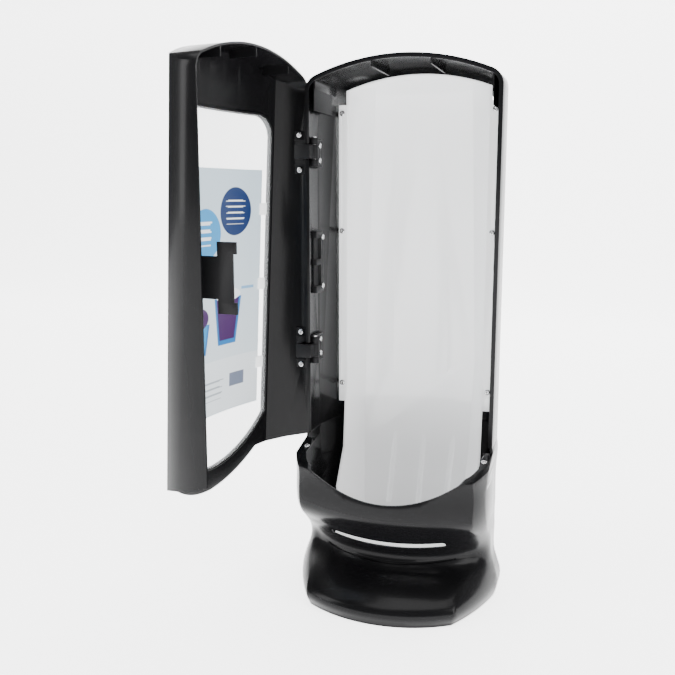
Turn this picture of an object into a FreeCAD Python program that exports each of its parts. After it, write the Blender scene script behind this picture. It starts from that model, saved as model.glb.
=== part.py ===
import FreeCAD, Part
import math
import os
import re

# Countertop napkin dispenser tower, millimetres, +Z up, front towards -Y.
# The origin is on the table, below the middle of the plane where the door meets the tower.
# The door, its latch and its card are drawn closed and are then turned about the hinge pins.

SIZES = {
    # overall
    "body_width": 230, "overall_height": 638, "arch_rise": 26, "arch_corner": 20,
    "wall": 2.5,
    # plan of the tower, behind the parting plane
    "flat_side_depth": 45, "rear_edge_inset": 17, "rear_edge_x": "=body_width / 2 - rear_edge_inset",
    "rear_edge_y": 118, "shell_depth": 152,
    "lip_width": 5, "lip_depth": 3, "shell_joint_level": 188,
    # rear window
    "rear_opening_x": 92, "rear_opening_drop": 28, "rear_opening_top": "=overall_height - rear_opening_drop",
    "rear_opening_low": 208, "pane_thickness": 2,
    "pane_lap": 3, "opening_corner": 24,
    # door
    "parting_gap": 1.2, "door_side_depth": 37, "door_corner_inset": 12,
    "door_corner_x": "=body_width / 2 - door_corner_inset", "door_corner_y": 61,
    "door_depth": 75, "door_lean": 0.048, "rim_level": 182, "rim_slope": 14.7, "rim_gap": 0.8,
    "smile_radius": 141, "smile_low": 132, "swing_relief": 8, "hinge_edge_chamfer": 1.6, "open_angle": 98,
    "window_x": 93, "window_drop": 66, "window_top": "=overall_height - window_drop",
    "window_low": 162, "window_low_radius": 115,
    # base
    "base_wall": 3, "nose_level": 124, "waist_level": 56, "waist_side_y": 22, "waist_corner_x": 97,
    "waist_corner_y": 8, "waist_front_y": 44, "foot_level": 16, "foot_side_x": 124, "foot_side_y": 14,
    "foot_corner_x": 88, "foot_corner_y": 79, "foot_front_y": 105, "foot_round": 4,
    "ledge_width": 12, "ledge_thickness": 3, "nose_screw_y": 18,
    "slot_level": 76, "slot_length": 132, "slot_height": 7.5, "slot_radius": 700,
    "step_level": 52, "step_length": 156, "step_height": 2.4, "step_depth": 1.6,
    "floor_thickness": 4, "floor_recess": 2.8, "floor_screw_x": 70, "floor_screw_front": 30, "floor_screw_back": 90,
    "lug_width": 12, "lug_height": 7, "post_x": 50, "post_y": 2,
    "foot_pad_diameter": 20, "foot_pad_thickness": 1.8, "foot_pad_x": 74, "foot_pad_front": 60,
    "foot_pad_back": 108,
    # magazine liner
    "liner_thickness": 1.6, "liner_inset": 12, "liner_low": 54,
    "liner_back_y": 124, "liner_edge_y": 88, "liner_side_gap": 24,
    "liner_edge_x": "=body_width / 2 - liner_side_gap", "liner_fold_top": 62,
    "liner_fold_low": 74, "liner_bend_level": 268, "flange_width": 9.5, "flange_low": 210,
    "flange_drop": 46, "flange_top": "=overall_height - flange_drop",
    "liner_screw_drop": 56, "liner_screw_high": "=overall_height - liner_screw_drop",
    "liner_screw_low": 235, "liner_screw_lift": 26.5,
    "liner_screw_middle": "=(liner_screw_high + liner_screw_low) / 2 + liner_screw_lift",
    "boss_offset": 4.8, "boss_diameter": 7, "boss_length": 14,
    "rib_x": 36, "rib_top": 401, "rib_low": 239, "rib_width": 26, "rib_depth": 6,
    # throat behind the slot
    "throat_width": 138, "throat_depth": 46, "throat_thickness": 1.8,
    # hinges
    "pivot_gap": 5.5, "pivot_inset": "=wall + pivot_gap", "pivot_depth": 10, "hinge_drop": 107, "hinge_upper": "=overall_height - hinge_drop",
    "hinge_lower": 292,
    "pin_diameter": 4, "pin_clearance": 0.06, "knuckle_radius": 5, "knuckle_height": 8,
    "arm_height": 17, "knuckle_gap": 0.4, "leaf_thickness": 2.4,
    "bracket_height": 34, "arm_reach": 14, "arm_thickness": 3, "arm_leaf_depth": 15, "arm_leaf_back": 2, "arm_notch_margin": 1,
    "arm_leaf_height": 50, "arm_screw_pitch": 41,
    # latch
    "latch_drop": 12.5, "latch_level": "=(hinge_upper + hinge_lower) / 2 - latch_drop",
    "latch_x": 100, "latch_thickness": 3, "latch_pivot_y": 25,
    "latch_arm_height": 43, "latch_arm_end": 9, "latch_plate_end": 27, "latch_plate_height": 72,
    "latch_tab_length": 4, "latch_tab_height": 12, "latch_mount_height": 50, "latch_pin_diameter": 3,
    "keeper_front": 18, "keeper_length": 42, "keeper_height": 76, "keeper_thickness": 5,
    "keeper_slot_height": 26, "keeper_bridge": 7,
    # card
    "card_width": 158, "card_low": 226, "card_drop": 62, "card_top": "=window_top - card_drop",
    "card_thickness": 0.8, "card_gap": 0.35,
    "clip_drop": 46, "clip_high": "=card_top - clip_drop",
    "clip_lift": 4, "clip_middle": "=(clip_high + clip_low) / 2 + clip_lift",
    "clip_low": 276, "clip_height": 14, "clip_reach": 7, "clip_thickness": 1.4,
    # screws
    "screw_head": 7, "screw_head_height": 2.4, "screw_shank": 3, "screw_length": 4.4,
}

doc = FreeCAD.newDocument("napkin_tower")
sheet = doc.addObject("Spreadsheet::Sheet", "Sizes")
for row, alias in enumerate(SIZES, start=1):
    sheet.set(f"A{row}", alias.replace("_", " "))
    sheet.setAlias(f"B{row}", alias)
for row, value in enumerate(SIZES.values(), start=1):
    sheet.set(f"B{row}", str(value))
doc.recompute()

V = FreeCAD.Vector
X_AXIS, Y_AXIS, Z_AXIS = V(1, 0, 0), V(0, 1, 0), V(0, 0, 1)
nodes = []


def size(alias):
    """The value that a cell of the sheet holds."""
    return float(sheet.get(alias))


def bind(part, prop, formula):
    """Tie a property to a formula written with the names of the sheet's cells."""
    names = re.compile(r"[a-z_]+")
    text = names.sub(lambda found: f"Sizes.{found.group()}" if found.group() in SIZES else found.group(), formula)
    part.setExpression(prop, text)


def place(part, start):
    for axis, formula in zip("xyz", start):
        bind(part, f".Placement.Base.{axis}", formula)
    return part


def box(name, start, sides):
    part = doc.addObject("Part::Box", name)
    for prop, formula in zip(("Length", "Width", "Height"), sides):
        bind(part, prop, formula)
    return place(part, start)


def rod(name, start, radius, length, axis=Z_AXIS):
    part = doc.addObject("Part::Cylinder", name)
    bind(part, "Radius", radius)
    bind(part, "Height", length)
    part.Placement = FreeCAD.Placement(V(), FreeCAD.Rotation(Z_AXIS, axis))
    return place(part, start)


def cut(name, base, tool):
    part = doc.addObject("Part::Cut", name)
    part.Base, part.Tool = base, tool
    return part


def cut_all(name, base, *tools):
    return cut(name, base, fuse(f"{name}_tools", *tools))


def fuse(name, *pieces):
    part = doc.addObject("Part::MultiFuse", name)
    part.Shapes = list(pieces)
    part.Refine = True
    return part


def common(name, *pieces):
    part = doc.addObject("Part::MultiCommon", name)
    part.Shapes = list(pieces)
    return part


def group(name, pieces):
    part = doc.addObject("Part::Compound", name)
    part.Links = list(pieces)
    return part


def drawn(name, shape):
    """A shape made with Part's own functions from the sheet's sizes."""
    part = doc.addObject("Part::Feature", name)
    part.Shape = shape
    return part


def extrude(name, outline, direction, length):
    part = doc.addObject("Part::Extrusion", name)
    part.Base = outline
    part.DirMode = "Custom"
    part.Dir = direction
    part.Solid = True
    bind(part, "LengthFwd", length)
    return part


def turned(name, source, angle, centre, axis):
    """The source turned about an axis."""
    part = group(name, [source])
    part.Placement = FreeCAD.Placement(V(), FreeCAD.Rotation(axis, angle), centre)
    return part


def pivot():
    """Where the hinge pins stand in plan."""
    return V(size("pivot_inset") - size("body_width") / 2, size("pivot_depth"), 0)


def open_pose():
    return FreeCAD.Placement(V(), FreeCAD.Rotation(Z_AXIS, -size("open_angle")), pivot())


def node(name, source, on_door=False):
    """One physical piece, with its own label, in its place at rest."""
    part = group(f"{name}_piece", [source])
    part.Label = name
    if on_door:
        part.Placement = open_pose()
    nodes.append(part)
    return part


def closed_wire(points_and_arcs):
    """Edges joined in order: a line has its two ends and an arc its three points."""
    edges = []
    for points in points_and_arcs:
        if len(points) == 2:
            edges.append(Part.LineSegment(*points).toShape())
        else:
            edges.append(Part.Arc(*points).toShape())
    return Part.Wire(edges)


# ---------------------------------------------------------------- outlines

half_width = size("body_width") / 2
height = size("overall_height")


def arch_outline(inset, low, y):
    """Front view of the tower: straight sides, small corner arcs and one long arc on top."""
    rise = size("arch_rise")
    long_radius = (half_width**2 + rise**2) / (2 * rise)
    centre_z = height - long_radius
    corner = size("arch_corner")
    corner_x = half_width - corner
    corner_z = centre_z + math.sqrt((long_radius - corner) ** 2 - corner_x**2)
    lean = math.atan2(corner_z - centre_z, corner_x)
    radius = corner - inset
    side = half_width - inset

    def on_corner(angle, sign):
        return V(sign * (corner_x + radius * math.cos(angle)), y, corner_z + radius * math.sin(angle))

    return closed_wire([
        (V(-side, y, low), V(side, y, low)),
        (V(side, y, low), on_corner(0, 1)),
        (on_corner(0, 1), on_corner(lean / 2, 1), on_corner(lean, 1)),
        (on_corner(lean, 1), V(0, y, height - inset), on_corner(lean, -1)),
        (on_corner(lean, -1), on_corner(lean / 2, -1), on_corner(0, -1)),
        (on_corner(0, -1), V(-side, y, low)),
    ])


def arch_block(name, inset, low, start_y, length):
    face = drawn(f"{name}_face", Part.Face(arch_outline(inset, low, start_y)))
    return extrude(name, face, Y_AXIS, length)


def rear_plan(inset, z):
    """Plan of the tower behind the parting plane: flat sides, tapering flanks and a bowed back."""
    flat, edge_x, edge_y = size("flat_side_depth"), size("rear_edge_x"), size("rear_edge_y")
    front = -2 * size("lip_depth")
    corners = [V(half_width, front, z), V(half_width, flat, z), V(edge_x, edge_y, z)]
    mirror = [V(-p.x, p.y, p.z) for p in corners]
    wire = closed_wire([
        (corners[0], corners[1]), (corners[1], corners[2]),
        (corners[2], V(0, size("shell_depth"), z), mirror[2]),
        (mirror[2], mirror[1]), (mirror[1], mirror[0]), (mirror[0], corners[0]),
    ])
    return wire.makeOffset2D(-inset, 2) if inset else wire


def rear_block(name, inset, low):
    face = drawn(f"{name}_face", Part.Face(rear_plan(inset, low)))
    return extrude(name, face, Z_AXIS, "overall_height")


def door_plan(inset, z):
    """Plan of the closed door: flat sides, canted corners and a bowed front that leans out below."""
    drop = size("door_lean") * (size("rim_level") - z)
    side = -size("door_side_depth") - drop
    corner = V(size("door_corner_x"), -size("door_corner_y") - drop, z)
    back = size("door_depth")
    points = [V(half_width, back, z), V(half_width, side, z), corner]
    mirror = [V(-p.x, p.y, p.z) for p in points]
    wire = closed_wire([
        (points[0], points[1]), (points[1], points[2]),
        (points[2], V(0, -size("door_depth") - drop, z), mirror[2]),
        (mirror[2], mirror[1]), (mirror[1], mirror[0]), (mirror[0], points[0]),
    ])
    return wire.makeOffset2D(-inset, 2) if inset else wire


def door_block(name, inset):
    face = drawn(f"{name}_face", Part.Face(door_plan(inset, size("smile_low") - 2 * size("wall"))))
    return extrude(name, face, V(0, size("door_lean"), 1), "overall_height")


def opening_block(name, half, low, top, bow, grow, start_y, length):
    """A window opening: straight sides, round upper corners and an arc below, grown by a lap."""
    side, roof = half + grow, top + grow
    corner = size("opening_corner")
    diagonal = corner * (1 - math.sqrt(0.5))
    bottom = low - grow
    shoulder = bottom + bow - math.sqrt(bow**2 - side**2) if bow else bottom

    def at(x, z):
        return V(x, start_y, z)

    foot = (at(-side, shoulder), at(0, bottom), at(side, shoulder)) if bow else (at(-side, bottom), at(side, bottom))
    wire = closed_wire([
        foot,
        (at(side, shoulder), at(side, roof - corner)),
        (at(side, roof - corner), at(side - diagonal, roof - diagonal), at(side - corner, roof)),
        (at(side - corner, roof), at(corner - side, roof)),
        (at(corner - side, roof), at(diagonal - side, roof - diagonal), at(-side, roof - corner)),
        (at(-side, roof - corner), at(-side, shoulder)),
    ])
    return extrude(name, drawn(f"{name}_face", Part.Face(wire)), Y_AXIS, length)


# ---------------------------------------------------------------- screws

screw_head = rod("screw_head_form", ("0", "0", "0"), "screw_head / 2", "screw_head_height")
screw_shank = rod("screw_shank_form", ("0", "0", "-screw_length"), "screw_shank / 2", "screw_length + screw_head_height / 2")
recess_bars = [
    box("recess_x", ("-screw_head * 0.3", "-screw_head * 0.07", "screw_head_height / 2"),
        ("screw_head * 0.6", "screw_head * 0.14", "screw_head_height")),
    box("recess_y", ("-screw_head * 0.07", "-screw_head * 0.3", "screw_head_height / 2"),
        ("screw_head * 0.14", "screw_head * 0.6", "screw_head_height")),
]
screw_blank = fuse("screw_blank", screw_head, screw_shank)
screw_form = cut_all("screw_form", screw_blank, *recess_bars)
doc.recompute()


def screws(name, places, axis, form=screw_form):
    """Pan-head screws whose heads face along the axis, with the underside of the head at each place."""
    turn = FreeCAD.Rotation(Z_AXIS, axis)
    copies = []
    for point in places:
        shape = form.Shape.copy()
        shape.Placement = FreeCAD.Placement(point, turn)
        copies.append(shape)
    return drawn(name, Part.makeCompound(copies))


# ---------------------------------------------------------------- tower

joint = "shell_joint_level"
shell_inner = common("shell_inner", arch_block("shell_arch_inner", size("wall"), 0, -1, "shell_depth * 2"),
                     rear_block("shell_plan_inner", size("wall"), 0))
shell_outer = common("shell_outer", arch_block("shell_arch_outer", 0, 0, 0, "shell_depth * 2"),
                     rear_block("shell_plan_outer", 0, 0))
above_joint = box("above_joint", ("-body_width", "-door_depth", joint),
                  ("body_width * 2", "shell_depth * 3", "overall_height"))
rear_opening = opening_block("rear_opening", size("rear_opening_x"), size("rear_opening_low"),
                             size("rear_opening_top"), 0, 0, size("liner_edge_y"), "shell_depth")
shell_wall = cut_all("shell_wall", shell_outer, shell_inner, rear_opening)
lip_ring = cut("lip_ring", arch_block("lip_outer", size("wall"), 0, 0, "lip_depth"),
               arch_block("lip_inner", size("lip_width"), -1, -1, "lip_depth * 2"))

pane_layer = cut("pane_layer", rear_block("pane_outer", size("wall"), 0),
                 rear_block("pane_inner", size("wall") + size("pane_thickness"), -1))
pane_outline = opening_block("pane_outline", size("rear_opening_x"), size("rear_opening_low"),
                             size("rear_opening_top"), 0, size("pane_lap"), size("liner_edge_y"), "shell_depth")
rear_pane = common("rear_pane", pane_layer, pane_outline)

roof_ribs = []
for index, across in enumerate((-0.45, -0.15, 0.15, 0.45)):
    blade = box(f"roof_rib_{index}", (f"body_width * {across} - wall / 2", "lip_depth", "overall_height - 60"),
                ("wall * 0.8", "liner_edge_y - 8", "60"))
    roof_ribs.append(common(f"roof_rib_shape_{index}", blade, cut(
        f"roof_rib_band_{index}",
        arch_block(f"roof_rib_top_{index}", size("wall"), 0, 0, "shell_depth"),
        arch_block(f"roof_rib_low_{index}", size("liner_inset") - 1, -1, -1, "shell_depth * 2"))))

# The liner is a tray open to the front. Its back comes forward below, towards the slot.


def liner_section(z, edge_x, edge_y, fold_x, back_y, inset):
    slope = math.atan2(back_y - edge_y, edge_x - fold_x)
    shift = inset / math.sin(slope)
    fold = fold_x - inset * math.tan((math.pi / 2 - slope) / 2)
    return Part.makePolygon([
        V(shift - edge_x, edge_y - inset, z), V(edge_x - shift, edge_y - inset, z),
        V(fold, back_y - inset, z), V(-fold, back_y - inset, z), V(shift - edge_x, edge_y - inset, z)])


def liner_block(name, inset):
    edge_x, edge_y = size("liner_edge_x"), size("liner_edge_y")
    back_y, fold_low = size("liner_back_y"), size("liner_fold_low")
    bend = size("liner_bend_level")
    low = size("liner_low")
    sections = [
        (height, edge_x, edge_y, size("liner_fold_top"), back_y),
        (bend, edge_x, edge_y, fold_low, back_y),
        (low + (bend - low) * 0.45, edge_x, edge_y * 0.85, fold_low - 3, back_y - 14),
        (low + (bend - low) * 0.24, edge_x, edge_y * 0.5, fold_low - 6, back_y - 24),
        (low, edge_x - 13, edge_y * 0.36, fold_low - 10, back_y - 36),
    ]
    wires = [drawn(f"{name}_{index}", liner_section(*section, inset)) for index, section in enumerate(sections)]
    part = doc.addObject("Part::Loft", name)
    part.Sections = wires
    part.Solid = True
    part.Ruled = True
    return part


liner_outer = common("liner_outer", liner_block("liner_out", 0),
                     arch_block("liner_arch", size("liner_inset"), 0, 0, "shell_depth"))
liner_cavity = common("liner_cavity", liner_block("liner_in", size("liner_thickness")),
                      arch_block("liner_arch_in", size("liner_inset") + size("liner_thickness"), -1, -1, "shell_depth"))
below_liner = box("below_liner", ("-body_width / 2", "0", "liner_low - 1"), ("body_width", "shell_depth", "1"))

edge_y = size("liner_edge_y")
flange_front = "liner_edge_y - liner_thickness"
flanges = [box(f"liner_flange_{index}", (start, flange_front, "flange_low"),
               ("flange_width + liner_thickness", "liner_thickness", "flange_top - flange_low"))
           for index, start in enumerate(("liner_edge_x - liner_thickness", "-liner_edge_x - flange_width"))]
bosses, liner_screw_places = [], []
for level in ("liner_screw_high", "liner_screw_middle", "liner_screw_low"):
    for side in (-1, 1):
        bosses.append(rod(f"liner_boss_{level}_{side + 1}",
                          (f"{side} * (liner_edge_x + boss_offset)", "liner_edge_y", level),
                          "boss_diameter / 2", "boss_length", Y_AXIS))
        across = side * (size("liner_edge_x") + size("boss_offset"))
        liner_screw_places.append(V(across, edge_y - size("liner_thickness"), size(level)))
liner_screws = screws("liner_screw_set", liner_screw_places, V(0, -1, 0))


def wedge(name, across):
    """A raised wedge on the liner's back, thin above and wide and proud below."""
    back = size("liner_back_y") - size("liner_thickness") / 2
    top, low = size("rib_top"), size("rib_low")
    width, depth = size("rib_width"), size("rib_depth")
    upper = Part.makePolygon([V(across - width * 0.3, back, top), V(across, back - depth * 0.5, top),
                              V(across + width * 0.2, back, top), V(across - width * 0.3, back, top)])
    lower = Part.makePolygon([V(across - width * 0.55, back, low), V(across + width * 0.1, back - depth, low + 12),
                              V(across + width * 0.45, back, low + 24), V(across - width * 0.55, back, low)])
    return drawn(name, Part.makeLoft([upper, lower], True, True))


wedges = [wedge("wedge_left", -size("rib_x")), wedge("wedge_right", size("rib_x"))]
liner_tray = cut_all("liner_tray", liner_outer, liner_cavity, below_liner)
liner = cut("liner_drilled", fuse("liner_body", liner_tray, *flanges, *wedges), liner_screws)

# ---------------------------------------------------------------- base


def base_section(z, side_x, side_y, corner_x, corner_y, front_y, bulge, inset):
    """Plan of the base: the tower's back, with sides, corners and a front that change with height."""
    flat, edge_x, edge_y = size("flat_side_depth"), size("rear_edge_x"), size("rear_edge_y")
    flare = side_x - half_width
    side = side_x - inset
    start = V(side, side_y + inset * 0.25, z)
    corner = V(corner_x - inset * 0.6, inset - corner_y, z)
    chord = corner - start
    outward = V(-chord.y, chord.x, 0).normalize()
    if outward.x < 0:
        outward = outward.negative()
    middle = (start + corner) * 0.5 + outward * bulge
    right = [V(edge_x + flare * 0.6 - inset, edge_y - inset * 0.25, z), V(side, flat - inset * 0.1, z),
             start, middle, corner]
    left = [V(-p.x, p.y, p.z) for p in right]
    return closed_wire([
        (right[0], right[1]), (right[1], right[2]), (right[2], right[3], right[4]),
        (right[4], V(0, inset - front_y, z), left[4]),
        (left[4], left[3], left[2]), (left[2], left[1]), (left[1], left[0]),
        (left[0], V(0, size("shell_depth") - inset, z), right[0]),
    ])


def base_block(name, inset, low, top):
    """The base's outer form, or the same form a wall thickness inside it."""
    nose = (half_width, -size("door_side_depth"), size("door_corner_x"), size("door_corner_y"),
            size("door_depth"), 0.8)
    waist = (half_width, size("waist_side_y"), size("waist_corner_x"), size("waist_corner_y"),
             size("waist_front_y"), 5)
    foot = (size("foot_side_x"), size("foot_side_y"), size("foot_corner_x"), size("foot_corner_y"),
            size("foot_front_y"), 4)
    toe = tuple(a - size("foot_round") * b for a, b in zip(foot, (1, 0, 0.9, 1, 1, 0)))
    nose_z, waist_z, foot_z = size("nose_level"), size("waist_level"), size("foot_level")

    def between(first, second, share):
        eased = (1 - math.cos(math.pi * share)) / 2
        return tuple(a + (b - a) * eased for a, b in zip(first, second))

    stations = [(top, nose), ((top + nose_z) / 2, nose), (nose_z, nose)]
    stations += [(nose_z + (waist_z - nose_z) * share, between(nose, waist, share)) for share in (0.3, 0.55, 0.8, 1)]
    stations += [(waist_z + (foot_z - waist_z) * share, between(waist, foot, share)) for share in (0.35, 0.7, 1)]
    stations += [(foot_z * 0.45, between(foot, toe, 0.4)), (low, toe)]
    wires = [drawn(f"{name}_{index}", base_section(z, *station, inset))
             for index, (z, station) in enumerate(stations)]
    part = doc.addObject("Part::Loft", name)
    part.Sections = wires
    part.Solid = True
    part.Ruled = False
    return part


top_level = size("shell_joint_level")
base_outer = base_block("base_out", 0, 0, top_level)
base_inner = base_block("base_in", size("base_wall"), -1, top_level + 1)
base_ledge_inner = base_block("base_ledge_in", size("ledge_width"), -1, top_level + 1)
base_groove_inner = base_block("base_groove_in", size("step_depth"), -1, top_level + 1)

front_edge = V(0, 0, size("rim_level"))


def front_slab(name, offset, thickness):
    """A slab in front of the parting plane, parallel to the sloping rim."""
    slab = box(f"{name}_flat", ("-body_width", "-shell_depth", f"rim_level + {offset}"),
               ("body_width * 2", "shell_depth", thickness))
    return turned(name, slab, size("rim_slope"), front_edge, X_AXIS)


def smile(name, shrink, across="0"):
    """The round scoop in the rim, as a cylinder from front to back."""
    return rod(name, (across, "0", "smile_low + smile_radius"), f"smile_radius - {shrink}", "shell_depth", V(0, -1, 0))


rim_ledge = common("rim_ledge", cut("ledge_ring", base_outer, base_ledge_inner),
                   front_slab("ledge_slab", f"-{size('ledge_thickness')}", "ledge_thickness"))


def band_block(name, level, length, band, bow, start_y, reach):
    """A slightly smiling band, seen from the front, drawn out from front to back."""
    half = size(length) / 2
    low, tall, radius = size(level) - size(band) / 2, size(band), size(bow)
    lift = radius - math.sqrt(radius**2 - half**2)

    def at(x, z):
        return V(x, start_y, z)

    wire = closed_wire([
        (at(-half, low + lift), at(0, low), at(half, low + lift)),
        (at(half, low + lift), at(half + tall / 2, low + lift + tall / 2), at(half, low + lift + tall)),
        (at(half, low + lift + tall), at(0, low + tall), at(-half, low + lift + tall)),
        (at(-half, low + lift + tall), at(-half - tall / 2, low + lift + tall / 2), at(-half, low + lift)),
    ])
    return extrude(name, drawn(f"{name}_face", Part.Face(wire)), Y_AXIS, reach)


slot_tool = band_block("slot_tool", "slot_level", "slot_length", "slot_height", "slot_radius",
                       -size("foot_front_y"), "foot_front_y - 20")
step_tool = common("step_tool", cut("groove_ring", base_outer, base_groove_inner),
                   band_block("step_band", "step_level", "step_length", "step_height", "slot_radius",
                              -size("foot_front_y"), "foot_front_y"))

floor_plan = box("floor_slab", ("-body_width", "-shell_depth", "0"),
                 ("body_width * 2", "shell_depth * 3", "floor_thickness"))
floor_blank = common("floor_blank", base_inner, floor_plan)
floor_places = [V(sx * size("floor_screw_x"), y, size("floor_recess")) for sx in (-1, 1)
                for y in (-size("floor_screw_front"), size("floor_screw_back"))]
floor_screws_set = screws("floor_screw_set", floor_places, V(0, 0, -1))
floor_recesses = [rod(f"floor_recess_{index}", (str(p.x), str(p.y), "-1"), "screw_head / 2 + 0.2", "floor_recess + 1")
                  for index, p in enumerate(floor_places)]
lugs = [common(f"floor_lug_{index}", base_outer, box(
    f"lug_bar_{index}", (start, y, "floor_thickness"),
    ("body_width", "lug_width", "lug_height")))
    for index, (start, y) in enumerate((start, y) for start in (
        "floor_screw_x - lug_width / 2", "-body_width - floor_screw_x + lug_width / 2")
        for y in ("-floor_screw_front - lug_width / 2", "floor_screw_back - lug_width / 2"))]
pads = [rod(f"pad_{index}", (f"{sx} * foot_pad_x", y, "0"), "foot_pad_diameter / 2", "foot_pad_thickness")
        for index, (sx, y) in enumerate((sx, y) for sx in (-1, 1) for y in ("-foot_pad_front", "foot_pad_back"))]
nose_screw_x = half_width - size("base_wall") - size("screw_head") / 2 - 0.3
nose_slope = math.radians(size("rim_slope"))
nose_level = size("rim_level") - size("nose_screw_y") * math.tan(nose_slope) - size("screw_head_height") * 0.6
nose_places = [V(side * nose_screw_x, -size("nose_screw_y"), nose_level) for side in (-1, 1)]
nose_axis = V(0, -math.sin(nose_slope), math.cos(nose_slope))
nose_screw_set = screws("nose_screw_set", nose_places, nose_axis)
nose_drills = screws("nose_drills", nose_places, nose_axis, screw_blank)

rim_front = box("rim_front", ("-body_width", "-shell_depth", "rim_level"),
                ("body_width * 2", "shell_depth + parting_gap", "overall_height"))
base_rim_cut = fuse("base_rim_cut", front_slab("above_rim", "0", "overall_height"), rim_front, smile("base_smile", 0))
base_walls = fuse("base_walls", cut("base_hollow", base_outer, base_inner), rim_ledge, *lugs)
base_shell = cut_all("base_shell", base_walls, base_rim_cut, slot_tool, step_tool, floor_screws_set, nose_drills)

# The throat plate carries the lowest napkin to the slot.
throat_front = size("base_wall") + 3 - size("waist_front_y")


def throat_block(name, half, rise):
    """A sloping slab behind the slot, as thick as the rise."""
    low, high = size("slot_level") - 8, size("slot_level") + 8
    profile = ((0, low), (0, low + rise), (size("throat_depth"), high + rise), (size("throat_depth"), high), (0, low))
    ends = [Part.makePolygon([V(side, throat_front + y, z) for y, z in profile]) for side in (-half, half)]
    return drawn(name, Part.makeLoft(ends, True, True))


throat = common("throat_form", base_inner,
                throat_block("throat_slab", size("throat_width") / 2, size("throat_thickness")))
posts = [cut(f"post_{side + 1}", rod(f"post_rod_{side + 1}", (f"{side} * post_x", "-post_y", "floor_thickness"),
                                     "boss_diameter / 2", "slot_level + 10"),
             throat_block(f"post_top_{side + 1}", half_width, size("overall_height"))) for side in (-1, 1)]
floor_plate = cut_all("floor_plate", fuse("floor_with_posts", floor_blank, *posts),
                      floor_screws_set, *floor_recesses, *pads)

# ---------------------------------------------------------------- hinges

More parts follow.
